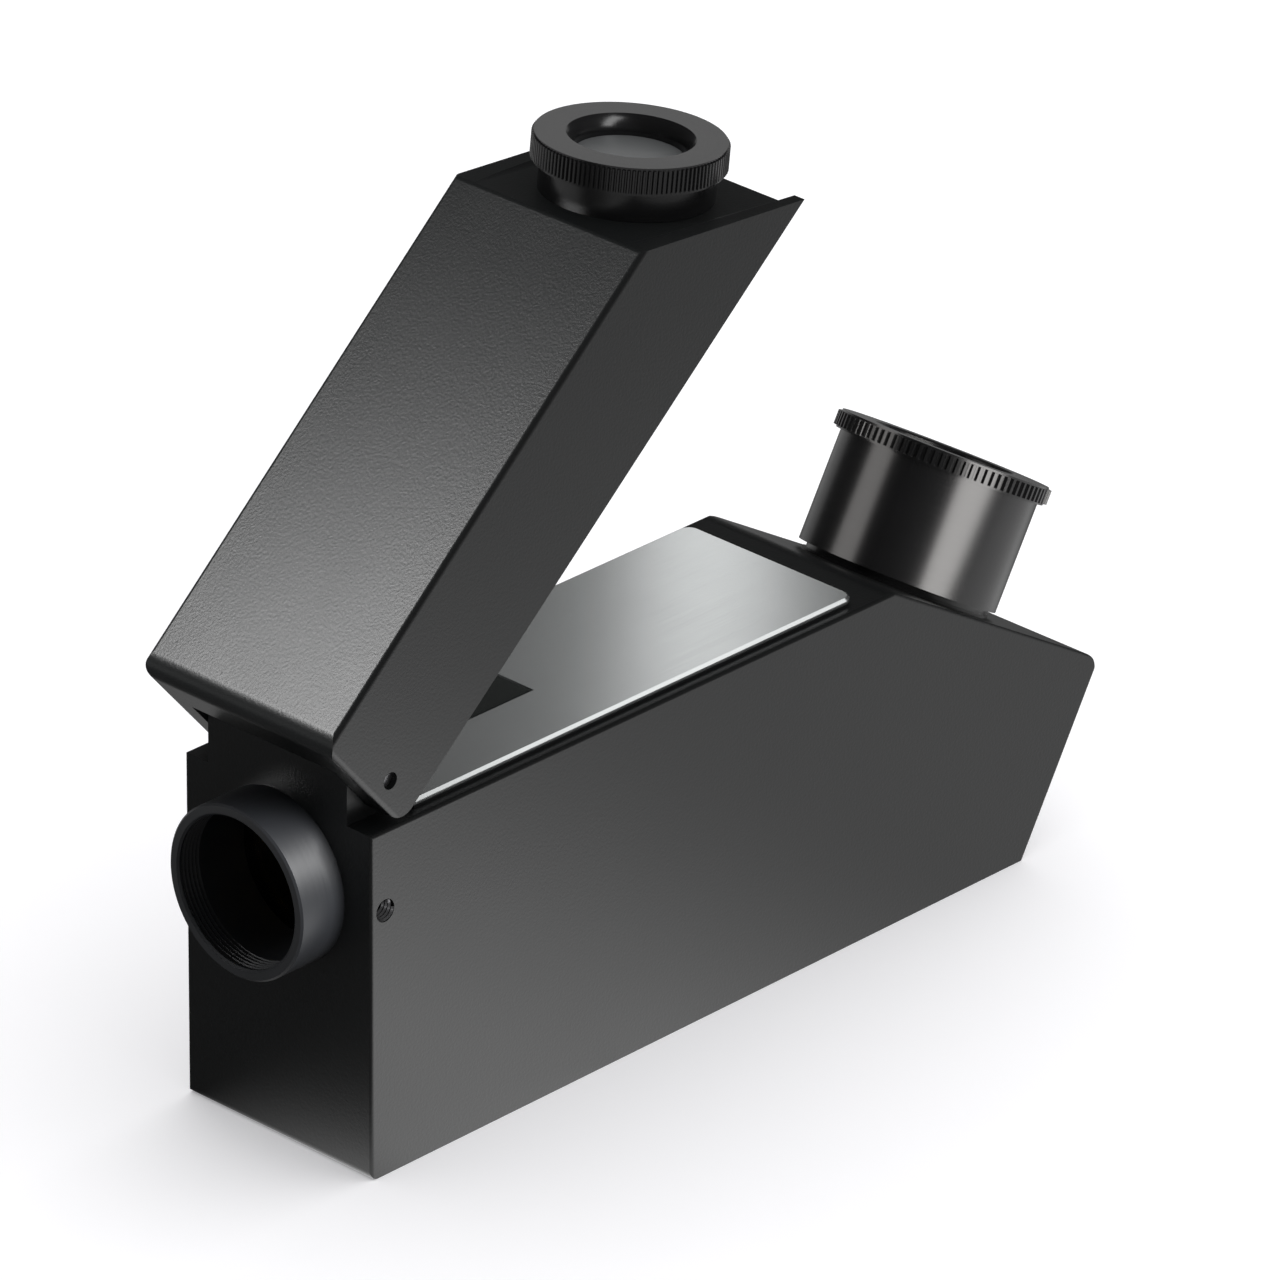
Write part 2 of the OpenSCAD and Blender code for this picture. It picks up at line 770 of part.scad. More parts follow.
module field_lens_ring() {
    color(black_anodised) from_front() on_slope()
        tube(field_lens_r, field_ring_in_r, -neck_in, -neck_in + retainer_t);
}

module eye_lens_cell() {
    color(black_anodised) from_front() on_slope() difference() {
        bore(cell_r, cell_low, cell_top);
        bore(cell_bore_r - retainer_w, cell_low - over, cell_top + over);
        bore(cell_bore_r, cell_low + cell_lip, cell_top + over);
    }
}

module eye_lens() {
    color(glass_tint) from_front() on_slope()
        translate([0, 0, cell_low + cell_lip]) lens(cell_bore_r - seat, eye_lens_t, eye_edge_t);
}

module eye_lens_ring() {
    r = cell_bore_r - seat;
    low = eye_edge_t + rise(r, eye_lens_t - eye_edge_t, cell_bore_r - retainer_w) + seat;
    color(black_anodised) from_front() on_slope() translate([0, 0, cell_low + cell_lip])
        tube(r, cell_bore_r - retainer_w, low, low + retainer_t);
}

module focus_barrel() {
    color(black_anodised) from_front() on_slope() tube(barrel_r, barrel_in_r, neck_show, barrel_top);
}

module focus_ring() {
    top = barrel_top + focus_h;
    color(black_anodised) from_front() on_slope() difference() {
        knurled_disc(focus_d / 2, knurl_depth, focus_n, barrel_top, top, focus_edge);
        bore(eye_bore_r, barrel_top - over, top + over);
        translate([0, 0, top - focus_edge])
            cylinder(h = focus_edge + over, r1 = eye_bore_r, r2 = eye_bore_r + focus_edge + over);
    }
}

// Lid

module lid_outline() {
    difference() {
        polygon([[0, 0], [0, lid_h], lid_c, [lid_l, 0]]);
        corner_cut([0, lid_h], [0, 0], [lid_l, 0], lid_r);
        corner_cut([0, 0], [0, lid_h], lid_c, lid_r);
        corner_cut([0, lid_h], lid_c, [lid_l, 0], lid_corner_r);
    }
}

// Hollow of the lid, wide over the stage and narrow between the ears
module lid_pocket() {
    across(pocket_w) polygon([[ear_l, -over], pocket_e, pocket_c, pocket_d]);
    across(hinge_gap_w) polygon([[lid_end_t, -over], pocket_b, pocket_e + [over, 0], [ear_l + over, -over]]);
    translate([-over, -hinge_gap_w / 2, -over]) cube([lid_end_t + 2 * over, hinge_gap_w, hinge_gap_h + over]);
}

// Shallow finger notch between the side walls, its floor tilted and its sides rounded
module end_notch() {
    on_end(-over) rotate([90, 0, 90]) linear_extrude(end_face_l + body_h) {
        translate([-notch_w / 2 + notch_r, 0]) square([notch_w - 2 * notch_r, body_h]);
        translate([-notch_w / 2, notch_r]) square([notch_w, body_h - notch_r]);
        for (side = [-1, 1]) translate([side * (notch_w / 2 - notch_r), notch_r]) circle(notch_r);
    }
}

module lid_shell() {
    color(black_paint) on_lid() difference() {
        intersection() {
            across(body_w) lid_outline();
            behind([0, 0], -90, body_w, lid_edge_r);
            behind([0, lid_h], -atan2(lid_rise, lid_c[0]), body_w, lid_edge_r);
        }
        lid_pocket();
        end_notch();
        translate([pin_s, body_w / 2 + over, pin_h]) rotate([90, 0, 0])
            cylinder(h = body_w + 2 * over, r = pin_d / 2 + seat);
        on_end(filter_at) bore(eye_bore_r + socket_rim + seat, -lid_end_t - over, over);
    }
}

module hinge_pin() {
    color(steel) on_lid() translate([pin_s, body_w / 2 - pin_recess, pin_h]) rotate([90, 0, 0])
        cylinder(h = body_w - 2 * pin_recess, r = pin_d / 2);
}

// Cup in the lid's end wall that the filter is parked in
module filter_socket() {
    color(black_anodised) on_lid() on_end(filter_at) difference() {
        bore(eye_bore_r + socket_rim, -socket_depth - socket_t, 0);
        bore(eye_bore_r, -socket_depth, over);
    }
}

// Filter

module filter_sleeve() {
    color(black_anodised) on_lid() on_end(filter_at) difference() {
        union() {
            bore(spigot_r, -spigot_l, sleeve_h);
            bore(sleeve_d / 2, run, sleeve_h);
            tube(hub_r, hub_in_r, sleeve_h - over, sleeve_h + hub_h);
        }
        bore(film_view_r, -spigot_l - over, sleeve_h + over);
    }
}

module filter_ring() {
    color(black_anodised) on_lid() on_end(filter_at) difference() {
        knurled_disc(filter_d / 2, filter_knurl_depth, filter_n, ring_z, ring_top, filter_edge);
        rotate_extrude() difference() {
            translate([0, ring_top - dish_depth]) square([dish_d / 2, dish_depth + over]);
            translate([film_view_r + dish_r, ring_top - dish_depth]) circle(dish_r);
        }
        bore(film_view_r, ring_z - over, ring_top);
        bore(film_seat_r + seat, ring_z - over, ring_top - dish_depth);
        tube(hub_r + run, hub_in_r - run, ring_z - over, ring_z + hub_h + run);
    }
}

module polarising_film() {
    color(glass_tint) on_lid() on_end(filter_at)
        bore(film_seat_r, ring_top - dish_depth - film_t, ring_top - dish_depth);
}

module film_clamp_ring() {
    color(black_anodised) on_lid() on_end(filter_at)
        tube(film_seat_r, film_seat_r - clamp_w, ring_z, ring_z + clamp_t);
}

housing();
bottom_cover();
cover_screws();
stage_plate();
prism();
prism_saddle();
saddle_screws();
lens_board();
scale_lens();
lens_ring();
reticle_board();
scale_reticle();
reticle_ring();
mirror();
mirror_wedge();
light_inlet_tube();
inlet_filter();
inlet_ring();
inlet_set_screw();
eyepiece_neck();
field_lens();
field_lens_ring();
lid_shell();
hinge_pin();
filter_socket();
filter_sleeve();
filter_ring();
polarising_film();
film_clamp_ring();
eye_lens_cell();
eye_lens();
eye_lens_ring();
focus_barrel();
focus_ring();
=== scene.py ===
"""Finishes of a bench gem refractometer, its plate's edge, its side thread and its white studio."""

import math

import bpy
from bpy.props import FloatProperty, FloatVectorProperty, IntProperty, PointerProperty
from bpy.types import Operator, Panel, PropertyGroup
from bpy.utils import register_class, unregister_class
from mathutils import Euler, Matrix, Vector


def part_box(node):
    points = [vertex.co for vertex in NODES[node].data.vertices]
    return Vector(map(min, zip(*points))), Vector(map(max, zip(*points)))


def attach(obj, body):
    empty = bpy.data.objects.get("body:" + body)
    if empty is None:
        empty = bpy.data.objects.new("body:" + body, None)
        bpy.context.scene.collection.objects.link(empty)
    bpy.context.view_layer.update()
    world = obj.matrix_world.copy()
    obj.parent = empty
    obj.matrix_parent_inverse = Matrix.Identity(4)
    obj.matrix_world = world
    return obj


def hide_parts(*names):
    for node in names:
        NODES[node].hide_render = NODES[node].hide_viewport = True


bl_info = {
    "name": "Gem refractometer",
    "version": (1, 0, 0),
    "blender": (4, 5, 0),
    "location": "3D View > Sidebar > Refractometer",
    "description": "Finishes, side thread and studio for the gem refractometer",
    "category": "Object",
}

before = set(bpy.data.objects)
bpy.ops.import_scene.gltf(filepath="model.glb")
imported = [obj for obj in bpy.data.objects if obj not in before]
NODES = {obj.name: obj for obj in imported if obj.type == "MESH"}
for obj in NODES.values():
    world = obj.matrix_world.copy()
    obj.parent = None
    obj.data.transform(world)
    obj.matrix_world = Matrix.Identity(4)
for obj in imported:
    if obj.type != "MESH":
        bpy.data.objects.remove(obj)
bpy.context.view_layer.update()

# Two heights of one flat face differ by less than this, and corners of a CAD piece's loose
# triangles that lie closer than this are one corner. Both are in metres.
SAME_HEIGHT = 0.00002
SAME_CORNER = 0.000002
# Faces that meet at less than the first angle are one flat face, and edges that turn by more than
# the second stay sharp.
FLAT_ANGLE = math.radians(0.5)
SHARP_ANGLE = math.radians(15.0)

# Axes of the turned pieces: a point on the axis in metres, and its direction.
INLET_AXIS = (Vector((-0.070, 0.0, 0.041)), Vector((-1.0, 0.0, 0.0)))
EYE_AXIS = (Vector((0.057445, 0.0, 0.041628)), Vector((0.507538, 0.0, 0.861629)))
FILTER_AXIS = (Vector((0.001048, 0.0, 0.121242)), Vector((0.109734, 0.0, 0.993961)))

CASTINGS = ("housing", "bottom_cover", "lid_shell")
SATIN = ("light_inlet_tube",)
TURNED = {
    "light_inlet_tube": INLET_AXIS,
    "inlet_ring": INLET_AXIS,
    "eyepiece_neck": EYE_AXIS,
    "focus_barrel": EYE_AXIS,
    "focus_ring": EYE_AXIS,
    "eye_lens_cell": EYE_AXIS,
    "eye_lens_ring": EYE_AXIS,
    "field_lens_ring": EYE_AXIS,
    "filter_socket": FILTER_AXIS,
    "filter_sleeve": FILTER_AXIS,
    "filter_ring": FILTER_AXIS,
    "film_clamp_ring": FILTER_AXIS,
}
MILLED = (
    "prism_saddle",
    "lens_board",
    "reticle_board",
    "lens_ring",
    "reticle_ring",
    "mirror_wedge",
)
SCREWS = ("cover_screws", "saddle_screws", "inlet_set_screw")
LENSES = ("scale_lens", "field_lens", "eye_lens")

# Glasses: their refractive indices, and the colours of the clear lenses and of the prism's surface.
# The prism's near-black colour is painted shade: it stands for the dark inside of the body seen
# through the glass.
LENS_IOR = 1.52
PRISM_IOR = 1.8
LENS_COLOUR = (0.95, 0.97, 0.96)
PRISM_PAINTED_SHADE = (0.016, 0.018, 0.017)
# Distance between two lines of the scale in metres, and the share of it that a line takes.
SCALE_STEP = 0.0005
SCALE_LINE = 0.2
# How much brighter the bare steel of the pin and the side thread is than the screws.
BARE_STEEL = 6.0

# The side thread: straight pieces in one turn, and pitches between the face and the first turn.
THREAD_STEPS = 48
THREAD_START = 0.6

# Sockets of the Mix node, whose names repeat: the first value, the second and the outcome.
MIX_SOCKETS = {"FLOAT": (2, 3, 0), "RGBA": (6, 7, 2)}
# Most of a noise lies between these two values.
NOISE_RANGE = (0.3, 0.7)
WHITE = (1.0, 1.0, 1.0)

# The floor lies this far under the base, in metres, so that the two faces never fight.
FLOOR_DROP = 0.00005
# Light of its own that the floor adds for the camera, so that it ends white: colour and strength.
FLOOR_LIFT_COLOUR = (0.97, 0.97, 1.0)
FLOOR_LIFT = 0.2

# The next rows are ramps: start and end in metres, then the levels at the start and at the end.
# They say how bright glossy pieces see the floor, and 1 is white. Two ramps along x, multiplied,
# stand beside the photographed side of the instrument, and two beside the side turned away. Across
# y one pair passes into the other, and farther out both pass into one plain level.
NEAR_FALL = (-0.035, 0.06, 2.2, 0.88)
NEAR_RISE = (-0.09, -0.055, 0.06, 1.0)
AWAY_LIFT = (-0.065, -0.045, 0.07, 0.4)
AWAY_SINK = (0.07, 0.12, 1.0, 0.4)
ACROSS = (-0.017, 0.017, 0.0, 1.0)
FARTHER_OUT = (0.13, 0.2, 0.0, 1.0)
PLAIN_LEVEL = 0.45

# The surroundings: the level of their light, how it leans to one side, and the ramp along y of what
# glossy pieces see there.
ROOM_LEVEL = 1.08
ROOM_LEAN = (0.7, -0.12, 0.0)
ROOM_MIRRORED = (-0.25, -0.7, 0.04, 0.1)

# The soft boxes. Each faces a target from a direction, at a distance, and lights the pieces in lit.
# Lengths are in metres and power is in watts.
LAMPS = {
    "cover_panel": {
        "target": (-0.126, -0.07, 0.03), "direction": (-0.325, 0.6155, 0.722),
        "distance": 0.3, "width": 0.16, "height": 0.1, "power": 0.76,
        "lit": ("lid_shell",),
    },
    "tube_panel": {
        "target": (-0.07, -0.01, 0.041), "direction": (0.15, -0.8, 0.55),
        "distance": 0.3, "width": 0.12, "height": 0.12, "power": 7.5,
        "lit": ("light_inlet_tube",),
    },
    "mouth_panel": {
        "target": (-0.074, 0.0, 0.038), "direction": (-0.8, 0.5, 0.15),
        "distance": 0.3, "width": 0.12, "height": 0.08, "power": 1.2,
        "lit": ("light_inlet_tube", "inlet_ring", "inlet_filter"),
    },
    "barrel_strip": {
        "target": (0.066, 0.0, 0.055), "direction": (-0.03, -0.99, 0.11),
        "distance": 0.4, "width": 0.33, "height": 0.3, "power": 2.5,
        "lit": ("focus_barrel", "focus_ring"), "colour": (1.0, 0.98, 0.96),
    },
    "barrel_side_panel": {
        "target": (0.066, 0.0, 0.055), "direction": (-0.8, 0.375, 0.47),
        "distance": 0.3, "width": 0.22, "height": 0.14, "power": 0.28,
        "lit": ("focus_barrel", "focus_ring"), "colour": (1.0, 0.97, 0.95),
    },
    "plate_panel": {
        "target": (0.0205, 0.0, 0.057), "direction": (0.648, 0.6155, 0.448),
        "distance": 0.2, "width": 0.022, "height": 0.24, "power": 0.0165,
        "lit": ("polished_stage_plate", "prism"),
    },
    "plate_fill": {
        "target": (0.01, 0.0, 0.057), "direction": (0.648, 0.6155, 0.448),
        "distance": 0.3, "width": 0.4, "height": 0.2, "power": 0.018,
        "lit": ("polished_stage_plate",),
    },
    "plate_edge_panel": {
        "target": (0.0, -0.015, 0.057), "direction": (0.648, -0.448, 0.616),
        "distance": 0.3, "width": 0.1, "height": 0.2, "power": 0.085,
        "lit": ("polished_stage_plate",),
    },
    "filter_panel": {
        "target": (0.001, 0.0, 0.13), "direction": (0.73, 0.6155, 0.296),
        "distance": 0.3, "width": 0.26, "height": 0.2, "power": 0.08,
        "lit": ("filter_ring", "polarising_film"),
    },
    "dish_panel": {
        "target": (0.001, 0.0, 0.13), "direction": (0.08, -0.74, 0.64),
        "distance": 0.3, "width": 0.1, "height": 0.24, "power": 0.36,
        "lit": ("filter_ring",),
    },
}

# The camera of the photo: lens and sensor in millimetres, place and clips in metres, and its turn
# in degrees.
CAMERA_LENS = 317.20612
CAMERA_SENSOR = 36.0
CAMERA_PLACE = (-1.0188459, -0.97164956, 0.75916511)
CAMERA_TURN = (63.35914478, -0.50421694, -46.23575669)
CAMERA_CLIPS = (0.05, 20.0)


class FinishSettings(PropertyGroup):
    """Colours, grain and edge of the refractometer's finishes."""

    paint_colour: FloatVectorProperty(
        name="Paint", description="Colour of the powder coat on the body and lid",
        subtype="COLOR", size=3, min=0.0, max=1.0, default=(0.0046, 0.0052, 0.0054))
    paint_grain: FloatProperty(
        name="Paint grain", description="Size of one grain of the powder coat",
        unit="LENGTH", min=0.0001, max=0.002, default=0.00042)
    anodised_colour: FloatVectorProperty(
        name="Anodising", description="Colour of the turned and milled black pieces",
        subtype="COLOR", size=3, min=0.0, max=1.0, default=(0.0042, 0.0042, 0.0045))
    satin_colour: FloatVectorProperty(
        name="Satin anodising", description="Colour of the softer anodising on the light inlet",
        subtype="COLOR", size=3, min=0.0, max=1.0, default=(0.004, 0.0043, 0.005))
    plate_colour: FloatVectorProperty(
        name="Stage plate", description="Colour of the polished stage plate",
        subtype="COLOR", size=3, min=0.0, max=1.0, default=(0.68, 0.7, 0.7))
    plate_edge: FloatProperty(
        name="Plate edge", description="Width of the broken edge of the stage plate",
        unit="LENGTH", min=0.00002, max=0.0006, default=0.0004)
    screw_colour: FloatVectorProperty(
        name="Screws", description="Colour of the screws; the pin and side thread are brighter",
        subtype="COLOR", size=3, min=0.0, max=1.0, default=(0.06, 0.06, 0.062))
    film_colour: FloatVectorProperty(
        name="Polarising film", description="Colour of the film in the filter",
        subtype="COLOR", size=3, min=0.0, max=1.0, default=(0.1, 0.104, 0.106))
    inlet_glass_colour: FloatVectorProperty(
        name="Inlet glass", description="Colour of the glass at the inner end of the light inlet",
        subtype="COLOR", size=3, min=0.0, max=1.0, default=(0.85, 0.62, 0.12))


class SideThreadSettings(PropertyGroup):
    """Sizes of the thread in the tapped hole at the side."""

    pitch: FloatProperty(
        name="Pitch", description="Distance between two turns of the thread",
        unit="LENGTH", min=0.0003, max=0.001, default=0.0006)
    turns: IntProperty(
        name="Turns", description="Turns that show between the face and the set screw",
        min=2, max=8, default=4)
    height: FloatProperty(
        name="Height", description="How far the thread stands into the hole",
        unit="LENGTH", min=0.0001, max=0.0005, default=0.00026)


class StageSettings(PropertyGroup):
    """The white studio."""

    floor_width: FloatProperty(
        name="Floor width", description="Width of the floor",
        unit="LENGTH", min=1.0, max=20.0, default=6.0)
    floor_colour: FloatVectorProperty(
        name="Floor", description="Colour of the floor",
        subtype="COLOR", size=3, min=0.0, max=1.0, default=(0.9, 0.895, 0.91))
    lamp_level: FloatProperty(
        name="Lamp level", description="Share of every lamp's power",
        subtype="FACTOR", min=0.0, max=2.0, default=1.0)


def connect(tree, node, inputs):
    """Sets a node's inputs to values, or links them to other nodes' outputs."""
    for name, value in inputs.items():
        if isinstance(value, bpy.types.NodeSocket):
            tree.links.new(value, node.inputs[name])
        else:
            node.inputs[name].default_value = value


def add(tree, kind, inputs=None, **attributes):
    """Adds a node, sets its attributes, and sets or links its inputs."""
    made = tree.nodes.new(kind)
    for name, value in attributes.items():
        setattr(made, name, value)
    connect(tree, made, inputs or {})
    return made


def rgba(colour):
    """The colour as red, green, blue and a full alpha."""
    return (*colour[:3], 1.0)


def scaled(colour, share):
    """The colour made lighter or darker by a share."""
    return (*(min(1.0, c * share) for c in colour[:3]), 1.0)


def empty_material(name):
    """A material and its empty node tree."""
    made = bpy.data.materials.new(name)
    made.use_nodes = True
    made.node_tree.nodes.clear()
    return made, made.node_tree


def finish_material(name):
    """A material, its node tree, its principled shader and its Object coordinates."""
    made, tree = empty_material(name)
    shader = add(tree, "ShaderNodeBsdfPrincipled")
    add(tree, "ShaderNodeOutputMaterial", {"Surface": shader.outputs["BSDF"]})
    coords = add(tree, "ShaderNodeTexCoord").outputs["Object"]
    return made, tree, shader, coords


def noise(tree, vector, feature, detail=2.0, roughness=0.5):
    """Noise whose spots are about feature metres across."""
    made = add(tree, "ShaderNodeTexNoise", {
        "Vector": vector, "Scale": 1.0 / feature, "Detail": detail, "Roughness": roughness})
    return made.outputs["Fac"]


def ramp(tree, value, start, end, first, last, smooth=False):
    """A level that goes from first at the start to last at the end, and stays so outside them."""
    made = add(tree, "ShaderNodeMapRange", {
        "Value": value, "From Min": start, "From Max": end, "To Min": first, "To Max": last},
        interpolation_type="SMOOTHSTEP" if smooth else "LINEAR")
    return made.outputs["Result"]


def spread(tree, value, low, high):
    """Spreads a noise over the range from low to high."""
    return ramp(tree, value, *NOISE_RANGE, low, high)


def arithmetic(tree, operation, *values):
    """The outcome of one step of arithmetic on numbers."""
    made = add(tree, "ShaderNodeMath", dict(enumerate(values)), operation=operation)
    return made.outputs["Value"]


def blend(tree, factor, first, second, data_type="RGBA"):
    """A colour, or a number with FLOAT, that passes from first to second as the factor rises."""
    one, two, outcome = MIX_SOCKETS[data_type]
    made = add(tree, "ShaderNodeMix", {0: factor, one: first, two: second}, data_type=data_type)
    return made.outputs[outcome]


def bump(tree, height, depth, strength):
    """A normal from a height that is worth depth metres."""
    made = add(tree, "ShaderNodeBump", {"Height": height, "Distance": depth, "Strength": strength})
    return made.outputs["Normal"]


def drawn_out(tree, coords, along_x=1.0, along_y=1.0):
    """Coordinates in which a noise becomes lines along the axis whose share is small."""
    made = add(tree, "ShaderNodeMapping", {"Vector": coords, "Scale": (along_x, along_y, 1.0)})
    return made.outputs["Vector"]


def lathe_rings(tree, coords, axis):
    """Coordinates away from and along a turned piece's axis, for the rings that a lathe leaves."""
    point, direction = axis
    turn = direction.rotation_difference(Vector((0.0, 0.0, 1.0)))
    turned = add(tree, "ShaderNodeMapping", {
        "Vector": coords, "Location": -(turn @ point), "Rotation": turn.to_euler()},
        vector_type="POINT")
    parts = add(tree, "ShaderNodeSeparateXYZ", {"Vector": turned.outputs["Vector"]})
    flat = add(tree, "ShaderNodeCombineXYZ", {"X": parts.outputs["X"], "Y": parts.outputs["Y"]})
    away = add(tree, "ShaderNodeVectorMath", {0: flat.outputs["Vector"]}, operation="LENGTH")
    rings = add(tree, "ShaderNodeCombineXYZ", {
        "X": away.outputs["Value"], "Y": parts.outputs["Z"]})
    return rings.outputs["Vector"]


def powder_coat(name, colour, grain):
    """Satin powder coat with a fine orange-peel grain."""
    made, tree, shader, coords = finish_material(name)
    fine = noise(tree, coords, feature=grain, detail=3.0)
    broad = noise(tree, coords, feature=grain * 40.0)
    connect(tree, shader, {
        "Base Color": blend(tree, fine, scaled(colour, 0.8), scaled(colour, 1.2)),
        "Roughness": spread(tree, broad, low=0.33, high=0.35),
        "Normal": bump(tree, fine, depth=grain * 0.08, strength=0.8),
        "IOR": 1.5,
    })
    return made


def anodised(name, colour, axis=None, low=0.2, high=0.25, ior=1.55):
    """Black anodising over metal turned round an axis or milled along the instrument."""
    made, tree, shader, coords = finish_material(name)
    if axis is None:
        lines = drawn_out(tree, coords, along_x=0.05)
    else:
        lines = lathe_rings(tree, coords, axis)
    cuts = noise(tree, lines, feature=0.00035, detail=3.0)
    cloud = noise(tree, coords, feature=0.006)
    connect(tree, shader, {
        "Base Color": blend(tree, cloud, scaled(colour, 0.8), scaled(colour, 1.25)),
        "Roughness": spread(tree, cuts, low, high),
        "Normal": bump(tree, cuts, depth=0.0000015, strength=0.25),
        "IOR": ior,
    })
    return made


def polished_steel(name, colour, low, high, along=1.0):
    """Steel with faint scratches, which run along the instrument where along is small."""
    made, tree, shader, coords = finish_material(name)
    lines = drawn_out(tree, coords, along_x=along)
    scratches = noise(tree, lines, feature=0.0003, detail=3.0, roughness=0.6)
    cloud = noise(tree, coords, feature=0.012)
    connect(tree, shader, {
        "Base Color": blend(tree, cloud, scaled(colour, 0.95), scaled(colour, 1.04)),
        "Metallic": 1.0,
        "Roughness": spread(tree, scratches, low, high),
        "Normal": bump(tree, scratches, depth=0.000003, strength=0.4),
    })
    return made


def glass(name, colour):
    """Polished glass with the faint bloom of its coating."""
    made, tree, shader, coords = finish_material(name)
    bloom = noise(tree, coords, feature=0.004)
    connect(tree, shader, {
        "Base Color": blend(tree, bloom, scaled(colour, 0.96), rgba(colour)),
        "Roughness": spread(tree, bloom, low=0.02, high=0.05),
        "Normal": bump(tree, bloom, depth=0.000002, strength=0.3),
        "Transmission Weight": 1.0,
        "IOR": LENS_IOR,
    })
    return made


def dense_glass_painted_shade(name, colour):
    """Polished dense glass drawn opaque over the dark inside of the body, its near-black colour
    painted shade for that inside, so that only its surface shows.
    """
    made, tree, shader, coords = finish_material(name)
    haze = noise(tree, coords, feature=0.003)
    connect(tree, shader, {
        "Base Color": blend(tree, haze, scaled(colour, 0.9), scaled(colour, 1.1)),
        "Roughness": spread(tree, haze, low=0.05, high=0.09),
        "Normal": bump(tree, haze, depth=0.000002, strength=0.3),
        "IOR": PRISM_IOR,
    })
    return made


def silvered(name):
    """Front-silvered mirror with a trace of dust."""
    made, tree, shader, coords = finish_material(name)
    dust = noise(tree, coords, feature=0.0008, detail=4.0, roughness=0.7)
    connect(tree, shader, {
        "Base Color": blend(tree, dust, (0.86, 0.88, 0.89, 1.0), (0.92, 0.93, 0.94, 1.0)),
        "Metallic": 1.0,
        "Roughness": spread(tree, dust, low=0.02, high=0.07),
        "Normal": bump(tree, dust, depth=0.000001, strength=0.3),
    })
    return made


def scale_glass(name):
    """Reticle glass with the etched lines of the refractive index scale."""
    made, tree, shader, coords = finish_material(name)
    parts = add(tree, "ShaderNodeSeparateXYZ", {"Vector": coords})
    steps = arithmetic(tree, "MULTIPLY", parts.outputs["Z"], 1.0 / SCALE_STEP)
    line = arithmetic(tree, "LESS_THAN", arithmetic(tree, "FRACT", steps), SCALE_LINE)
    bloom = noise(tree, coords, feature=0.003)
    connect(tree, shader, {
        "Base Color": blend(tree, line, (0.9, 0.95, 0.93, 1.0), (0.05, 0.05, 0.05, 1.0)),
        "Roughness": spread(tree, bloom, low=0.02, high=0.06),
        "Normal": bump(tree, line, depth=-0.00001, strength=0.4),
        "Transmission Weight": 1.0,
        "IOR": LENS_IOR,
    })
    return made


def film(name, colour):
    """Laminated polarising film: dark, flat and faintly streaked along its drawing direction."""
    made, tree, shader, coords = finish_material(name)
    streaks = noise(tree, drawn_out(tree, coords, along_y=0.04), feature=0.0004)
    connect(tree, shader, {
        "Base Color": blend(tree, streaks, scaled(colour, 0.9), scaled(colour, 1.1)),
        "Roughness": spread(tree, streaks, low=0.3, high=0.36),
        "Normal": bump(tree, streaks, depth=0.000002, strength=0.3),
        "IOR": 1.49,
    })
    return made


def coat_mesh(mesh, made):
    """Gives a mesh one material in place of those it has."""
    mesh.materials.clear()
    mesh.materials.append(made)


def coat(names, made):
    """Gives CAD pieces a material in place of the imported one."""
    for name in names:
        coat_mesh(NODES[name].data, made)


def deselect_all():
    """Leaves edit mode and clears the selection."""
    if bpy.context.object is not None and bpy.context.object.mode != "OBJECT":
        bpy.ops.object.mode_set(mode="OBJECT")
    bpy.ops.object.select_all(action="DESELECT")


def take_up(piece):
    """Makes a piece the only one selected, and the active one."""
    deselect_all()
    piece.select_set(True)
    bpy.context.view_layer.objects.active = piece


def settle(piece, body):
    """Moves a finished piece's place into its mesh and fastens it to its body."""
    take_up(piece)
    bpy.ops.object.transform_apply(location=True, rotation=True, scale=True)
    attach(piece, body)


def merged_copy(node, name):
    """A copy of a CAD piece whose triangles are joined and whose flat faces are whole."""
    piece = bpy.data.objects.new(name, NODES[node].data.copy())
    bpy.context.scene.collection.objects.link(piece)
    take_up(piece)
    bpy.ops.mesh.customdata_custom_splitnormals_clear()
    bpy.ops.object.mode_set(mode="EDIT")
    bpy.ops.mesh.select_all(action="SELECT")
    bpy.ops.mesh.remove_doubles(threshold=SAME_CORNER)
    bpy.ops.mesh.dissolve_limited(angle_limit=FLAT_ANGLE)
    bpy.ops.object.mode_set(mode="OBJECT")
    return piece


def top_vertices(mesh):
    """The numbers of the vertices on the top of a flat piece."""
    top = max(vertex.co.z for vertex in mesh.vertices)
    return {vertex.index for vertex in mesh.vertices if vertex.co.z > top - SAME_HEIGHT}


def upper_outline(mesh):
    """The numbers of the vertices round the top of a flat piece, without those of its slot."""
    on_top = top_vertices(mesh)
    along = [vertex.co.x for vertex in mesh.vertices]
    middle = (min(along) + max(along)) / 2.0
    outline = set()
    for face in mesh.polygons:
        outward = face.normal.x * (face.center.x - middle) + face.normal.y * face.center.y
        upright = abs(face.normal.z) < 0.5
        if upright and outward > 0.0:
            outline.update(number for number in face.vertices if number in on_top)
    return outline


def edit_vertices(piece, chosen):
    """Opens a piece for editing with the vertices of these numbers selected."""
    if not chosen:
        raise RuntimeError(piece.name + " has no vertices at the place to be shaped")
    for face in piece.data.polygons:
        face.select = False
    for edge in piece.data.edges:
        edge.select = False
    for vertex in piece.data.vertices:
        vertex.select = vertex.index in chosen
    bpy.ops.object.mode_set(mode="EDIT")


class REFRACTOMETER_OT_paint_castings(Operator):
    """Gives the body, the lid and the bottom cover their powder coat"""

    bl_idname = "refractometer.paint_castings"
    bl_label = "Paint the body and lid"

    def execute(self, context):
        finish = context.scene.refractometer_finish
        coat(CASTINGS, powder_coat("black_powder_coat", finish.paint_colour, finish.paint_grain))
        return {"FINISHED"}


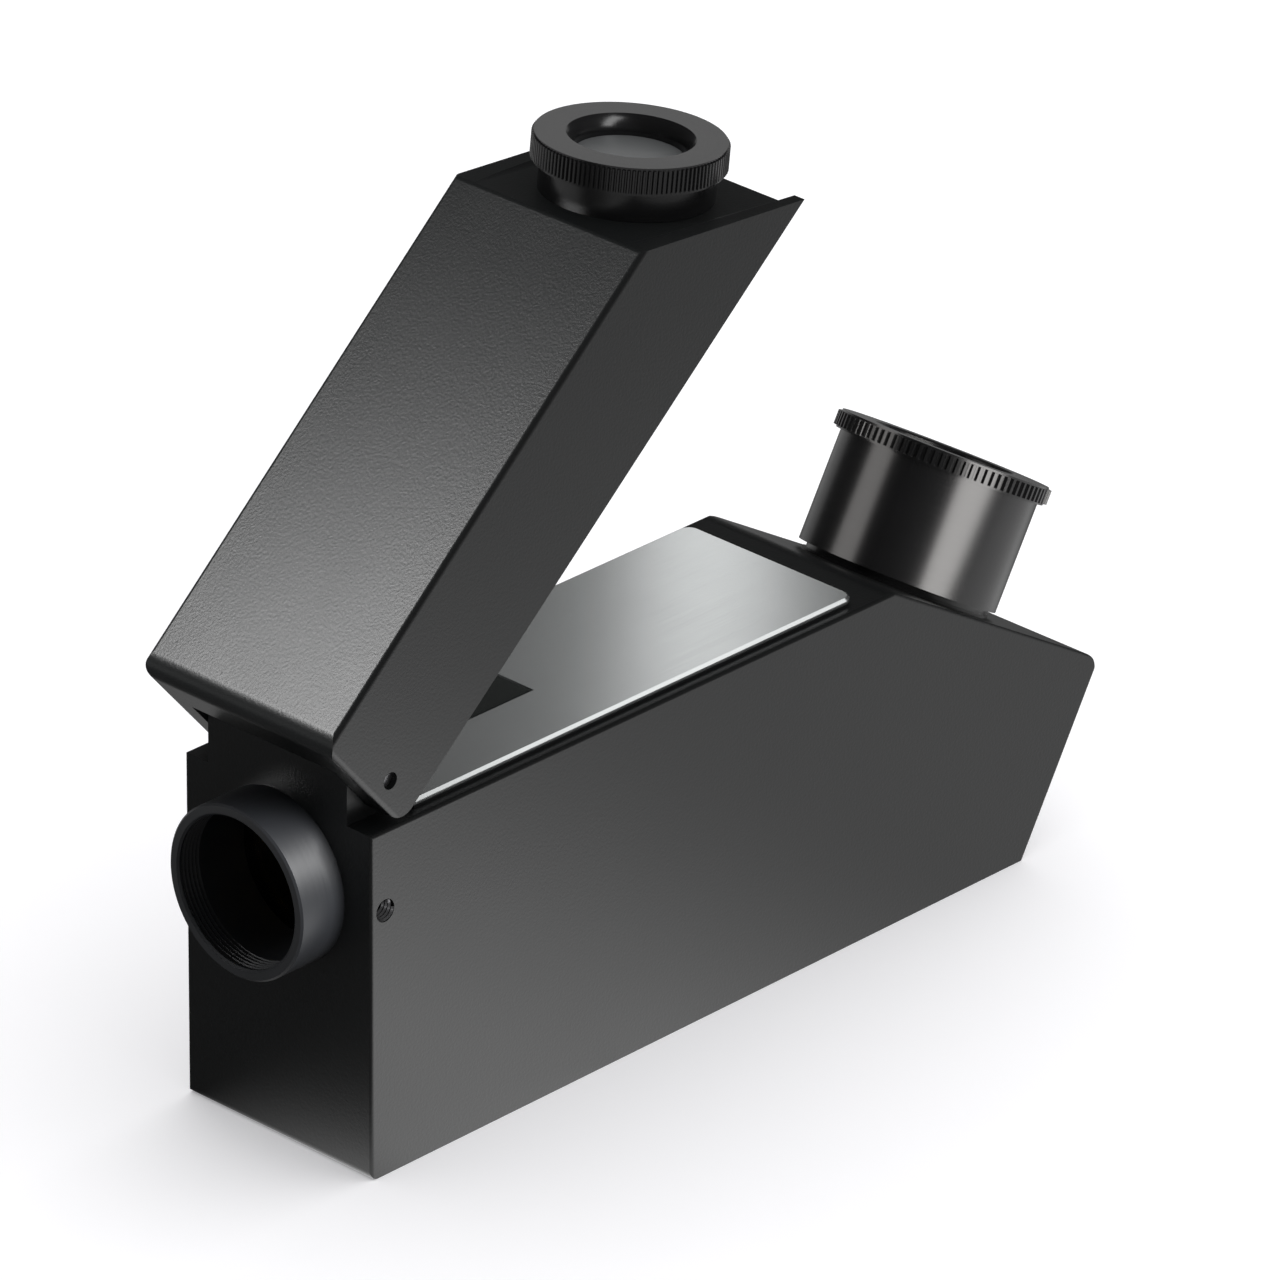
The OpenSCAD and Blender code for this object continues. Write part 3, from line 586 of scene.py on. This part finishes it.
class REFRACTOMETER_OT_finish_turned(Operator):
    """Gives the turned pieces their anodising, with lathe rings round each piece's axis"""

    bl_idname = "refractometer.finish_turned"
    bl_label = "Finish the turned pieces"

    def execute(self, context):
        finish = context.scene.refractometer_finish
        for name, axis in TURNED.items():
            if name in SATIN:
                made = anodised("satin_" + name, finish.satin_colour, axis,
                                low=0.35, high=0.39, ior=1.35)
            else:
                made = anodised("anodised_" + name, finish.anodised_colour, axis)
            coat([name], made)
        return {"FINISHED"}


class REFRACTOMETER_OT_finish_milled(Operator):
    """Gives the milled holders inside the body their anodising"""

    bl_idname = "refractometer.finish_milled"
    bl_label = "Finish the milled holders"

    def execute(self, context):
        colour = context.scene.refractometer_finish.anodised_colour
        coat(MILLED, anodised("anodised_holders", colour, low=0.4, high=0.5))
        return {"FINISHED"}


class REFRACTOMETER_OT_finish_stage_plate(Operator):
    """Breaks the upper edge of the stage's plate and polishes it"""

    bl_idname = "refractometer.finish_stage_plate"
    bl_label = "Polish the stage plate"

    def execute(self, context):
        finish = context.scene.refractometer_finish
        piece = merged_copy("stage_plate", "polished_stage_plate")
        edit_vertices(piece, top_vertices(piece.data))
        bpy.ops.mesh.inset(thickness=finish.plate_edge, use_even_offset=True)
        bpy.ops.object.mode_set(mode="OBJECT")
        edit_vertices(piece, upper_outline(piece.data))
        bpy.ops.transform.translate(value=(0.0, 0.0, -finish.plate_edge))
        bpy.ops.object.mode_set(mode="OBJECT")
        bpy.ops.object.shade_smooth_by_angle(angle=SHARP_ANGLE)
        settle(piece, "base")
        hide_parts("stage_plate")
        coat_mesh(piece.data, polished_steel("polished_plate", finish.plate_colour,
                                             low=0.24, high=0.26, along=0.02))
        return {"FINISHED"}


class REFRACTOMETER_OT_finish_screws(Operator):
    """Gives the screws their blackened steel and the hinge pin its bare steel"""

    bl_idname = "refractometer.finish_screws"
    bl_label = "Finish the screws and pin"

    def execute(self, context):
        colour = context.scene.refractometer_finish.screw_colour
        coat(SCREWS, polished_steel("blackened_steel", colour, low=0.25, high=0.4))
        bare = scaled(colour, BARE_STEEL)
        coat(["hinge_pin"], polished_steel("pin_steel", bare, low=0.3, high=0.4))
        return {"FINISHED"}


class REFRACTOMETER_OT_finish_optics(Operator):
    """Gives the prism, the lenses, the mirror, the scale and the filters their glass and film"""

    bl_idname = "refractometer.finish_optics"
    bl_label = "Finish the optics"

    def execute(self, context):
        finish = context.scene.refractometer_finish
        # The prism's near-black colour is painted shade, the dark inside of the body seen through
        # the glass.
        coat(["prism"], dense_glass_painted_shade("prism_glass", PRISM_PAINTED_SHADE))
        coat(LENSES, glass("lens_glass", LENS_COLOUR))
        coat(["scale_reticle"], scale_glass("scale_glass"))
        coat(["inlet_filter"], glass("inlet_glass", finish.inlet_glass_colour))
        coat(["mirror"], silvered("mirror_silver"))
        coat(["polarising_film"], film("polarising_film", finish.film_colour))
        return {"FINISHED"}


class REFRACTOMETER_OT_cut_side_thread(Operator):
    """Winds the thread of the tapped hole that holds the inlet tube's set screw"""

    bl_idname = "refractometer.cut_side_thread"
    bl_label = "Cut the side thread"

    def execute(self, context):
        thread = context.scene.refractometer_thread
        low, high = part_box("inlet_set_screw")
        centre = (low + high) / 2
        outer = (high.x - low.x) / 2
        inner = outer - thread.height
        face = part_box("housing")[0].y

        # The thread's section: its foot at the hole's wall and its narrow crest towards the axis.
        foot, crest = thread.pitch / 2, thread.pitch / 12
        places = ((outer, -foot), (outer, foot), (inner, -crest), (inner, crest))
        deselect_all()
        bpy.ops.mesh.primitive_plane_add(size=thread.pitch, location=(0, 0, 0))
        piece = context.object
        piece.name = "side_thread"
        corners = sorted(piece.data.vertices, key=lambda v: (round(v.co.x, 6), v.co.y))
        for corner, (across, up) in zip(corners, places):
            corner.co = (across, 0.0, up)

        screw = piece.modifiers.new("thread", "SCREW")
        screw.axis = "Z"
        screw.angle = 2 * math.pi
        screw.screw_offset = thread.pitch
        screw.iterations = thread.turns
        screw.steps = screw.render_steps = THREAD_STEPS
        bpy.ops.object.modifier_apply(modifier=screw.name)
        piece.rotation_euler = (math.radians(-90.0), 0.0, 0.0)
        piece.location = (centre.x, face + THREAD_START * thread.pitch, centre.z)
        settle(piece, "base")
        bare = scaled(context.scene.refractometer_finish.screw_colour, BARE_STEEL)
        coat_mesh(piece.data, polished_steel("thread_steel", bare, low=0.2, high=0.3))
        return {"FINISHED"}


def shown_to_rays(tree, plain, glossy, transmission, camera):
    """One shader for each kind of ray, and the plain one for all the rest."""
    ray = add(tree, "ShaderNodeLightPath")
    shown = plain
    for kind, shader in (("Is Glossy Ray", glossy), ("Is Transmission Ray", transmission),
                         ("Is Camera Ray", camera)):
        made = add(tree, "ShaderNodeMixShader", {0: ray.outputs[kind], 1: shown, 2: shader})
        shown = made.outputs["Shader"]
    return shown


def emission(tree, strength, colour=WHITE):
    """A surface that shines by itself."""
    made = add(tree, "ShaderNodeEmission", {"Color": rgba(colour), "Strength": strength})
    return made.outputs["Emission"]


def background(tree, strength):
    """White surroundings of a strength."""
    made = add(tree, "ShaderNodeBackground", {"Color": rgba(WHITE), "Strength": strength})
    return made.outputs["Background"]


def mirrored_floor(tree, coords):
    """How bright glossy pieces see the floor at each place."""
    parts = add(tree, "ShaderNodeSeparateXYZ", {"Vector": coords})
    along, across = parts.outputs["X"], parts.outputs["Y"]
    near = arithmetic(tree, "MULTIPLY",
                      ramp(tree, along, *NEAR_FALL, smooth=True),
                      ramp(tree, along, *NEAR_RISE, smooth=True))
    away = arithmetic(tree, "MULTIPLY",
                      ramp(tree, along, *AWAY_LIFT),
                      ramp(tree, along, *AWAY_SINK))
    beside = blend(tree, ramp(tree, across, *ACROSS), near, away, "FLOAT")
    farther_out = ramp(tree, arithmetic(tree, "ABSOLUTE", across), *FARTHER_OUT, smooth=True)
    return blend(tree, farther_out, beside, PLAIN_LEVEL, "FLOAT")


def floor_material(colour):
    """Matt white floor that keeps the soft shadow; glossy pieces see it at levels of its own."""
    made, tree = empty_material("studio_floor")
    coords = add(tree, "ShaderNodeTexCoord").outputs["Object"]
    grain = noise(tree, coords, feature=0.01)
    tone = blend(tree, grain, scaled(colour, 0.99), rgba(colour))
    matt = add(tree, "ShaderNodeBsdfDiffuse", {"Color": tone}).outputs["BSDF"]
    lift = emission(tree, FLOOR_LIFT, FLOOR_LIFT_COLOUR)
    seen = add(tree, "ShaderNodeAddShader", {0: matt, 1: lift}).outputs["Shader"]
    mirrored = emission(tree, mirrored_floor(tree, coords))
    shown = shown_to_rays(tree, matt, mirrored, emission(tree, 1.0), seen)
    add(tree, "ShaderNodeOutputMaterial", {"Surface": shown})
    return made


def lay_floor(stage):
    """The white floor under the instrument."""
    deselect_all()
    bpy.ops.mesh.primitive_plane_add(size=stage.floor_width, location=(0, 0, -FLOOR_DROP))
    floor = bpy.context.object
    floor.name = "studio_floor"
    floor.data.materials.append(floor_material(stage.floor_colour))


def hang_lamp(name, level, target, direction, distance, width, height, power, lit, colour=WHITE):
    """A soft box that faces the target from a direction and lights the pieces named in lit."""
    data = bpy.data.lights.new(name, "AREA")
    data.shape = "RECTANGLE"
    data.size, data.size_y = width, height
    data.energy = power * level
    data.color = colour
    made = bpy.data.objects.new(name, data)
    back = Vector(direction).normalized()
    made.location = Vector(target) + back * distance
    made.rotation_euler = (-back).to_track_quat("-Z", "Y").to_euler()
    made.visible_camera = False
    receivers = bpy.data.collections.new(name + "_lights")
    for piece in lit:
        receivers.objects.link(bpy.data.objects[piece])
    made.light_linking.receiver_collection = receivers
    bpy.context.scene.collection.objects.link(made)


def set_surroundings(scene):
    """White to the camera and through glass, dim to glossy pieces, and soft light for the rest."""
    world = scene.world or bpy.data.worlds.new("studio")
    scene.world = world
    world.use_nodes = True
    tree = world.node_tree
    tree.nodes.clear()
    outward = add(tree, "ShaderNodeTexCoord").outputs["Generated"]
    lean = add(tree, "ShaderNodeVectorMath", {0: outward, 1: ROOM_LEAN}, operation="DOT_PRODUCT")
    level = arithmetic(tree, "ADD", lean.outputs["Value"], ROOM_LEVEL)
    parts = add(tree, "ShaderNodeSeparateXYZ", {"Vector": outward})
    mirrored = ramp(tree, parts.outputs["Y"], *ROOM_MIRRORED, smooth=True)
    white = background(tree, 1.0)
    shown = shown_to_rays(tree, background(tree, level), background(tree, mirrored), white, white)
    add(tree, "ShaderNodeOutputWorld", {"Surface": shown})


def set_camera(scene):
    """The camera that sees the instrument as the photo does."""
    data = bpy.data.cameras.new("camera")
    data.sensor_width = CAMERA_SENSOR
    data.lens = CAMERA_LENS
    data.clip_start, data.clip_end = CAMERA_CLIPS
    camera = bpy.data.objects.new("camera", data)
    camera.location = CAMERA_PLACE
    camera.rotation_euler = Euler([math.radians(angle) for angle in CAMERA_TURN])
    scene.collection.objects.link(camera)
    scene.camera = camera


class REFRACTOMETER_OT_set_stage(Operator):
    """Sets the floor, the soft boxes, the white surroundings and the camera"""

    bl_idname = "refractometer.set_stage"
    bl_label = "Set the stage"

    def execute(self, context):
        scene = context.scene
        stage = scene.refractometer_stage
        lay_floor(stage)
        for name, lamp in LAMPS.items():
            hang_lamp(name, stage.lamp_level, **lamp)
        set_surroundings(scene)
        set_camera(scene)
        scene.view_settings.view_transform = "Standard"
        return {"FINISHED"}


class REFRACTOMETER_PT_panel(Panel):
    """Lists the refractometer's steps and settings"""

    bl_idname = "REFRACTOMETER_PT_panel"
    bl_label = "Refractometer"
    bl_space_type = "VIEW_3D"
    bl_region_type = "UI"
    bl_category = "Refractometer"

    def draw(self, context):
        """Draws a box of settings for each group, and a button for each step."""
        for group in SETTINGS:
            box = self.layout.box()
            settings = getattr(context.scene, group)
            for name in settings.__annotations__:
                box.prop(settings, name)
        for step in STEPS:
            self.layout.operator(step.bl_idname)


SETTINGS = {
    "refractometer_finish": FinishSettings,
    "refractometer_thread": SideThreadSettings,
    "refractometer_stage": StageSettings,
}
STEPS = (
    REFRACTOMETER_OT_paint_castings,
    REFRACTOMETER_OT_finish_turned,
    REFRACTOMETER_OT_finish_milled,
    REFRACTOMETER_OT_finish_stage_plate,
    REFRACTOMETER_OT_finish_screws,
    REFRACTOMETER_OT_finish_optics,
    REFRACTOMETER_OT_cut_side_thread,
    REFRACTOMETER_OT_set_stage,
)


def register():
    """Registers the settings, the steps and the panel."""
    for name, group in SETTINGS.items():
        register_class(group)
        setattr(bpy.types.Scene, name, PointerProperty(type=group))
    for step in STEPS:
        register_class(step)
    register_class(REFRACTOMETER_PT_panel)


def unregister():
    """Takes the panel, the steps and the settings out again."""
    unregister_class(REFRACTOMETER_PT_panel)
    for step in reversed(STEPS):
        unregister_class(step)
    for name, group in SETTINGS.items():
        delattr(bpy.types.Scene, name)
        unregister_class(group)


def main():
    """Builds everything in order."""
    register()
    for step in STEPS:
        group, name = step.bl_idname.split(".")
        getattr(getattr(bpy.ops, group), name)()


if __name__ == "__main__":
    main()
